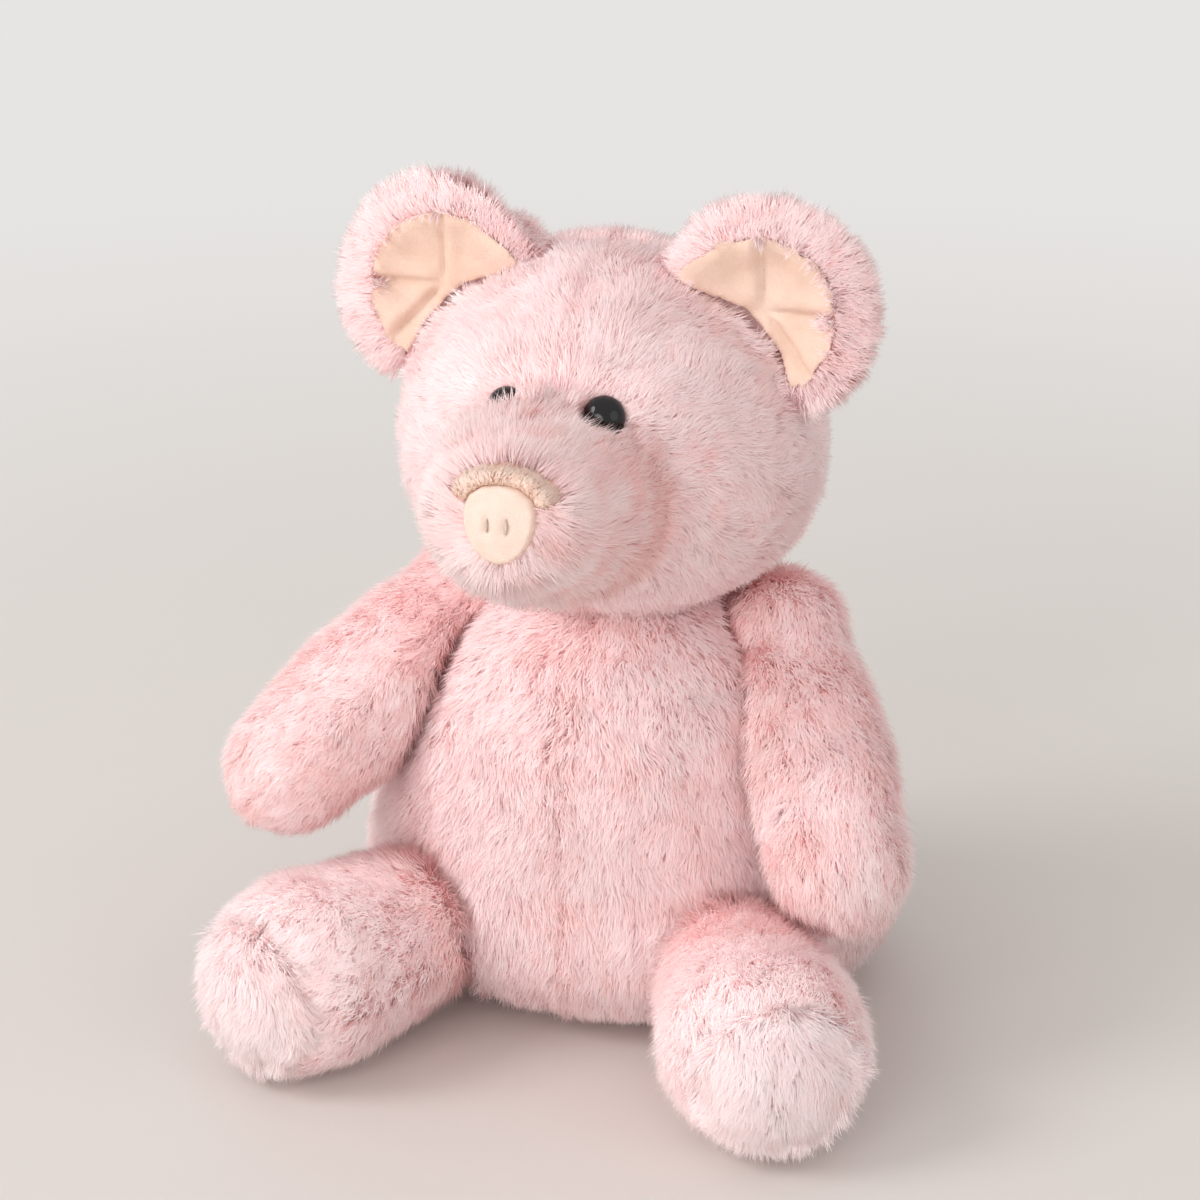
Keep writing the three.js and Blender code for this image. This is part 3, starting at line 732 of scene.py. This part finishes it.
def length_on_muzzle(at):
    """Longer round the pad, and where it stands in front of the toy's right eye."""
    far = np.linalg.norm(at - round_the_eyes[1][0], axis=1)
    return 0.0125 + 0.003 * front_of_muzzle(at) + 0.004 * np.exp(-(far / 0.022) ** 2)


def combed_from_snout(at, normal):
    """Brushed back along the muzzle, and outward where it stands round the pad."""
    off = at - muzzle_root
    ahead = off @ muzzle_way
    round_it = unit(off - ahead[:, None] * muzzle_way)
    return round_it * 0.5 - muzzle_way * (1 - front_of_muzzle(at))[:, None]


muzzle_cloth = cut_cover("muzzle", "head", muzzle_core, [])
set_pile(muzzle_cloth, "head", muzzle_core, combed_from_snout, [],
         ["snout_band", "snout_pad"], tone=muzzle_tone_and_painted_light, lean=lean_of_muzzle,
         length=length_on_muzzle, where=crowd_at_front, material=muzzle_pile,
         trims=[(round_the_eyes[0][0], 0.0096)], wild=0.4)

# Ears: a plush back and a velour lining sewn round the rim, turned, lightly filled, and set
# into the crown on a chord. The pile of the back rolls over the lining's edge.
ear_velour = cloth("ear_velour", (0.77, 0.54, 0.42), (0.86, 0.65, 0.54),
                   blotch_scale=90, fibre_scale=1400, bump=0.7, sheen=0.05)
ear_lean = math.radians(56)
ear_front = np.array([0.0, -1.0, 0.0])
ear_middle_up = 0.02
dish_middle_up = 0.016
lining_darts = (58, -34, -82)
notch_turn, notch_spread = -34, 8
dart_width, dart_depth = 0.0012, 0.0018
fold_width, fold_height = 0.0035, 0.0016
hollow_width, hollow_depth = 0.006, 0.001
crumple_height = 0.0005
swell_height = 0.001
fuller_by = 0.03
flat_middle = 0.02
lining_over_ear = 0.0004
foot_tuck = 0.0045
rim_wide, rim_tall, rim_down = 0.037, 0.0392, 0.007


def dented_at_darts(wide, tall):
    """How deep the lining is drawn in along its darts, less the fold beside each of them."""
    turn = np.degrees(np.arctan2(wide, tall))
    far = np.hypot(wide, tall)
    sunk = np.zeros(len(wide))
    for dart in lining_darts:
        aside = far * np.sin(np.radians(turn - dart))
        ahead = far * np.cos(np.radians(turn - dart))
        along = fade(ahead, start=0, width=0.006)
        sunk += np.exp(-(aside / dart_width) ** 2) * along * dart_depth
        fold = np.exp(-((aside - fold_width) / fold_width) ** 2) * (aside > 0)
        sunk -= fold * along * fold_height
        further = fade(ahead, start=0, width=0.02)
        sunk += np.exp(-(aside / hollow_width) ** 2) * further * hollow_depth
    return sunk


for side_name, side in (("left", 1), ("right", -1)):
    ear = f"ear_{side_name}"
    ear_walls = [f"ear_lining_{side_name}",
                 "face_left", "face_right", "head_back_left", "head_back_right"]
    lean = side * ear_lean
    ear_up = np.array([math.sin(lean), 0, math.cos(lean)])
    ear_across = np.array([-side * math.cos(lean), 0, side * math.sin(lean)])
    ear_root = np.array(hinges[f"ear_{side_name}_flop"])
    ear_middle = ear_root + ear_up * ear_middle_up
    dish_middle = ear_root + ear_up * dish_middle_up

    def ear_core(at, heart=ear_middle):
        """Behind each place of the dish, and a little nearer to its middle."""
        off = (at - heart) @ ear_front
        return at - off[:, None] * ear_front * 0.5 - (at - heart) * 0.3

    def combed_to_rim(at, normal, heart=ear_middle, up=ear_up):
        """Brushed out to the rim, and a little upward."""
        return unit(at - heart) + up * 0.3

    ear_cloth = cut_cover(ear, ear, ear_core, [], grid=0.0022, depth=0.004)
    # The ears' pile is set deeper in tone than the head's, as painted shade.
    set_pile(ear_cloth, ear, ear_core, combed_to_rim, [], ear_walls, tone=0.34,
             lean=52, length=0.0098, thick=0.00018, density=1.4, gather=0.1)

    lining = even_grid(f"ear_lining_{side_name}", f"ear_lining_{side_name}_cloth", 0.0011, rub=3)
    at, facing = places(lining.data)
    off = at - dish_middle
    wide, tall = off @ ear_across, off @ ear_up
    turn = np.degrees(np.arctan2(wide, tall))
    far = np.hypot(wide, tall)
    sunk = dented_at_darts(wide, tall) + crumple_height * drift(at, 0.014, 41)
    swell = swell_height * np.cos(np.radians(turn * 3)) * fade(far, start=0, width=0.03)
    fuller = 1 + fuller_by * fade(far, start=0, width=flat_middle)
    off += ear_across * (wide * (fuller - 1))[:, None] + ear_up * (tall * (fuller - 1))[:, None]
    at = dish_middle + off - ear_front * (sunk - np.maximum(swell, 0))[:, None]

    # Near its rim the lining lies on the ear's own cloth, and its foot is tucked in.
    rim_wall = wall_of([ear])
    for k in range(len(at)):
        if far[k] > flat_middle:
            start = Vector(at[k] + ear_front * 0.03)
            spot, _, _, gap = rim_wall.ray_cast(start, Vector(-ear_front), 0.03)
            if gap is not None and facing[k] @ ear_front > 0:
                at[k] = np.array(spot) + ear_front * lining_over_ear
    at -= ear_up * (foot_tuck * fade(-tall, start=0.004, width=0.006))[:, None]
    lay(lining.data, at)
    lining.data.materials.append(ear_velour)
    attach(lining, ear)
    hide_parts(f"ear_lining_{side_name}")

    def rim_and_notch(at, heart=dish_middle, across=ear_across, up=ear_up):
        """Where the pile rolls in over the lining: all along its rim, and at one notch."""
        off = at - heart
        wide, tall = off @ across, off @ up
        share = np.hypot(wide / rim_wide, (tall + rim_down) / rim_tall)
        turn = np.degrees(np.arctan2(wide, tall))
        notch = np.exp(-((turn - notch_turn) / notch_spread) ** 2)
        notch = notch * fade(share, start=0.72, width=0.2)
        rim = fade(share, start=0.86, width=0.06) * (tall > -0.012)
        return np.clip(rim + 0.8 * notch, 0, 1)

    def combed_in(at, normal, heart=dish_middle):
        """Brushed from the rim towards the dish's middle."""
        return heart - at

    set_pile(lining, ear, lambda at: at - ear_front * 0.01, combed_in, [],
             ["face_left", "face_right"], tone=0.18, lean=34, length=0.0072, density=1.6,
             tuft=0.003, where=rim_and_notch, name="rim")

# Snout: a cream velour pad over a disc of wadding, with an arched tan velour band sewn round
# its top, and two nostrils pulled in with a few stitches of thread.
snout_velour = cloth("snout_velour", (0.81, 0.61, 0.51), (0.9, 0.71, 0.62),
                     blotch_scale=160, fibre_scale=1700, bump=0.7, sheen=0.05)
band_velour = cloth("band_velour", (0.7, 0.5, 0.38), (0.86, 0.67, 0.54),
                    blotch_scale=160, fibre_scale=2000, bump=0.6, sheen=0.05)
band_nap = hair(
    "band_nap", (0.88, 0.63, 0.52), (0.97, 0.82, 0.73), (0.68, 0.44, 0.34), (0.9, 0.67, 0.57))
nostril_thread = cloth("nostril_thread", (0.52, 0.42, 0.36), (0.68, 0.56, 0.48),
                       blotch_scale=400, fibre_scale=4000, bump=0.4)
snout_tip = {}
for node, material, slot, grid in (
    ("snout_pad", snout_velour, "snout_velour", 0.0006),
    ("snout_band", band_velour, "band_velour", 0.0006),
    ("nostril_left", nostril_thread, "thread", 0.0003),
    ("nostril_right", nostril_thread, "thread", 0.0003),
):
    snout_piece = even_grid(node, f"{node}_form", grid, rub=4)
    snout_piece.data.materials.append(material)
    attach(snout_piece, "head")
    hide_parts(node)
    snout_tip[node] = snout_piece

# The pad swells round its stitches, which pull two dents in it.
pad_swell = 0.0009
dent_depth = 0.0007
dent_wide, dent_high = 0.0016, 0.0015
stitch_half_tall = 0.002
slit_half_wide, slit_edge = 0.0011, 0.0006
slit_opening = 0.00035
pad_mesh = snout_tip["snout_pad"].data
at, facing = places(pad_mesh)
pad_front = fade(facing @ muzzle_way, start=0.3, width=0.5)
dent = np.zeros(len(at))
for side_name in ("left", "right"):
    stitch = places(snout_tip[f"nostril_{side_name}"].data)[0].mean(0)
    off = at - stitch
    aside, above = off[:, 0], off @ muzzle_up
    above = np.maximum(np.abs(above) - stitch_half_tall, 0)
    dent = np.maximum(dent, np.exp(-(aside / dent_wide) ** 2 - (above / dent_high) ** 2))
    beside = np.clip((slit_half_wide - np.abs(aside)) / slit_edge, 0, 1) * (above < 0.0012)
    at[:, 0] -= np.sign(aside) * slit_opening * beside
pucker = 0.0003 * drift(at, 0.006, 31)
lay(pad_mesh, at + muzzle_way * (pad_front * (pad_swell + pucker - dent_depth * dent))[:, None])


def tone_of_band(at):
    """Crushed velour, in small pale and dark patches."""
    return 0.35 + 0.4 * drift(at, 0.004, 51)


def combed_up(at, normal):
    """Brushed up and back over the band, and a little to the toy's left."""
    return muzzle_up - muzzle_way * 0.6 + np.array([0.3, 0, 0])


band_swell = 0.0006
at, facing = places(snout_tip["snout_band"].data)
band_middle = at.mean(0)
band_heart = np.array([toy_middle.x, band_middle[1] + 0.004, band_middle[2] - 0.014])
lay(snout_tip["snout_band"].data, at + facing * band_swell)
set_pile(snout_tip["snout_band"], "head", everywhere(band_heart), combed_up, [],
         ["snout_pad"], tone=tone_of_band, length=0.0034, lean=42, material=band_nap,
         thick=0.0002, density=3, tuft=0.0026, wild=0.9, name="nap")

# Eyes: black moulded plastic domes, polished, on a shank that is pushed through the face and
# locked by a plastic washer inside the head.
eye_plastic, eye_tree, eye_shader = new_material("eye_plastic")
eye_wear = eye_tree.nodes.new("ShaderNodeTexNoise")
eye_wear.inputs["Scale"].default_value = 700
eye_spot = eye_tree.nodes.new("ShaderNodeTexCoord")
eye_polish = eye_tree.nodes.new("ShaderNodeMapRange")
eye_polish.inputs["To Min"].default_value = 0.04
eye_polish.inputs["To Max"].default_value = 0.14
eye_tree.links.new(eye_spot.outputs["Object"], eye_wear.inputs["Vector"])
eye_tree.links.new(eye_wear.outputs["Fac"], eye_polish.inputs["Value"])
eye_tree.links.new(eye_polish.outputs["Result"], eye_shader.inputs["Roughness"])
eye_shader.inputs["Base Color"].default_value = (0.006, 0.005, 0.006, 1)
eye_shader.inputs["Coat Weight"].default_value = 0.25
eye_shader.inputs["Specular IOR Level"].default_value = 0.3
eye_shader.inputs["Coat Roughness"].default_value = 0.03
washer_plastic = cloth("washer_plastic", (0.72, 0.72, 0.7), (0.84, 0.84, 0.82),
                       blotch_scale=200, fibre_scale=900, bump=0.05, rough=0.45)
eye_sunk = 0.0035
dome_radius = 0.008
dome_foot = 0.0012
dome_height = 0.0053
eye_outline = [(0.0, -0.013), (0.0016, -0.013), (0.002, -0.0126), (0.002, -0.0005),
               (0.0024, 0.0), (0.0074, 0.0), (0.0078, 0.0004)]
eye_outline += [(dome_radius * math.cos(t), dome_foot + dome_height * math.sin(t))
                for t in np.linspace(0, math.pi / 2, 14)]


def turned(name, outline, place, rounds=48):
    """A body turned from its outline, which starts and ends on its own axis."""
    turns = [k * 2 * math.pi / rounds for k in range(rounds)]
    spots = [place @ Vector((r * math.cos(turn), r * math.sin(turn), z))
             for r, z in outline[1:-1] for turn in turns]
    low = len(spots)
    spots += [place @ Vector((0, 0, outline[0][1])), place @ Vector((0, 0, outline[-1][1]))]
    rings = len(outline) - 2
    last = (rings - 1) * rounds
    following = [(k + 1) % rounds for k in range(rounds)]
    faces = [(j * rounds + k, j * rounds + following[k],
              (j + 1) * rounds + following[k], (j + 1) * rounds + k)
             for j in range(rings - 1) for k in range(rounds)]
    faces += [(low, following[k], k) for k in range(rounds)]
    faces += [(low + 1, last + k, last + following[k]) for k in range(rounds)]
    mesh = bpy.data.meshes.new(name)
    mesh.from_pydata(spots, [], faces)
    mesh.shade_smooth()
    return mesh


for side_name, (eye_place, eye_facing) in zip(("left", "right"), eye_spots):
    eye_facing = Vector(eye_facing)
    eye_turn = eye_facing.to_track_quat("Z", "Y").to_matrix().to_4x4()
    eye_frame = Matrix.Translation(Vector(eye_place) - eye_facing * eye_sunk) @ eye_turn
    eye_mesh = turned(f"eye_{side_name}_dome", eye_outline, eye_frame)
    eye = add(f"eye_{side_name}_dome", eye_mesh)
    eye_mesh.materials.append(eye_plastic)
    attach(eye, "head")
    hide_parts(f"eye_{side_name}")
    washer = frame["nodes"][f"eye_washer_{side_name}"]
    washer.data.materials.clear()
    washer.data.materials.append(washer_plastic)

# The studio: a pale table under the toy, soft daylight from the upper left and the front, and
# a weaker light from the other side.
table_mesh = bpy.data.meshes.new("table")
table_mesh.from_pydata([(-6, -6, 0), (6, -6, 0), (6, 6, 0), (-6, 6, 0)], [], [(0, 1, 2, 3)])
table = add("table", table_mesh)
table_top, table_tree, table_shader = new_material("table_top")
table_spot = table_tree.nodes.new("ShaderNodeTexCoord")
table_grain = table_tree.nodes.new("ShaderNodeTexNoise")
table_grain.inputs["Scale"].default_value = 3
table_shades = table_tree.nodes.new("ShaderNodeValToRGB")
table_shades.color_ramp.elements[0].color = (0.66, 0.62, 0.59, 1)
table_shades.color_ramp.elements[1].color = (0.7, 0.66, 0.63, 1)
table_tree.links.new(table_spot.outputs["Object"], table_grain.inputs["Vector"])
table_tree.links.new(table_grain.outputs["Fac"], table_shades.inputs["Fac"])
table_tree.links.new(table_shades.outputs["Color"], table_shader.inputs["Base Color"])
table_shader.inputs["Roughness"].default_value = 0.6


def seen_directly(tree):
    """A socket that is 1 for what the camera or a glossy surface sees, and 0 for light."""
    ray = tree.nodes.new("ShaderNodeLightPath")
    either = tree.nodes.new("ShaderNodeMath")
    either.use_clamp = True
    tree.links.new(ray.outputs["Is Camera Ray"], either.inputs[0])
    tree.links.new(ray.outputs["Is Glossy Ray"], either.inputs[1])
    return either.outputs[0]


# Away from the toy the table fades into the plain backdrop, for the camera and for gloss.
backdrop_colour = (0.8, 0.785, 0.77, 1)
table_far = table_tree.nodes.new("ShaderNodeVectorMath")
table_far.operation = "LENGTH"
table_fade = table_tree.nodes.new("ShaderNodeMapRange")
table_fade.interpolation_type = "SMOOTHSTEP"
table_fade.inputs["From Min"].default_value = 0.3
table_fade.inputs["From Max"].default_value = 1.5
table_share = table_tree.nodes.new("ShaderNodeMath")
table_share.operation = "MULTIPLY"
table_glow = table_tree.nodes.new("ShaderNodeEmission")
table_glow.inputs["Color"].default_value = backdrop_colour
table_mix = table_tree.nodes.new("ShaderNodeMixShader")
table_surface = table_tree.nodes["Material Output"].inputs["Surface"]
table_tree.links.new(table_spot.outputs["Object"], table_far.inputs[0])
table_tree.links.new(table_far.outputs["Value"], table_fade.inputs["Value"])
table_tree.links.new(seen_directly(table_tree), table_share.inputs[0])
table_tree.links.new(table_fade.outputs["Result"], table_share.inputs[1])
table_tree.links.new(table_share.outputs[0], table_mix.inputs["Fac"])
table_tree.links.new(table_shader.outputs["BSDF"], table_mix.inputs[1])
table_tree.links.new(table_glow.outputs["Emission"], table_mix.inputs[2])
table_tree.links.new(table_mix.outputs["Shader"], table_surface)
table_mesh.materials.append(table_top)
lit_spot = Vector((0, 0, 0.15))


def soft_lamp(name, place, size, watts):
    """A round soft lamp that points at the middle of the toy."""
    lamp = add(name, bpy.data.lights.new(name, "AREA"))
    lamp.data.shape = "DISK"
    lamp.data.size = size
    lamp.data.energy = watts
    lamp.location = Vector(place)
    lamp.rotation_euler = (lit_spot - Vector(place)).to_track_quat("-Z", "Y").to_euler()


soft_lamp("window_light", (-3.2, -2.6, 3.2), size=2.4, watts=98)
soft_lamp("fill_light", (3.8, -2.4, 2.0), size=3.2, watts=16)
soft_lamp("front_light", (-0.8, -4.4, 1.2), size=3.0, watts=80)
world = bpy.data.worlds.new("room")
bpy.context.scene.world = world
world.use_nodes = True
room_tree = world.node_tree
room = room_tree.nodes["Background"]
room.inputs["Color"].default_value = (1.0, 0.99, 0.98, 1)
room.inputs["Strength"].default_value = 0.75
backdrop = room_tree.nodes.new("ShaderNodeBackground")
backdrop.inputs["Color"].default_value = backdrop_colour
room_mix = room_tree.nodes.new("ShaderNodeMixShader")
room_tree.links.new(seen_directly(room_tree), room_mix.inputs["Fac"])
room_tree.links.new(room.outputs["Background"], room_mix.inputs[1])
room_tree.links.new(backdrop.outputs["Background"], room_mix.inputs[2])
room_tree.links.new(room_mix.outputs["Shader"], room_tree.nodes["World Output"].inputs["Surface"])
bpy.context.scene.view_settings.view_transform = "Standard"
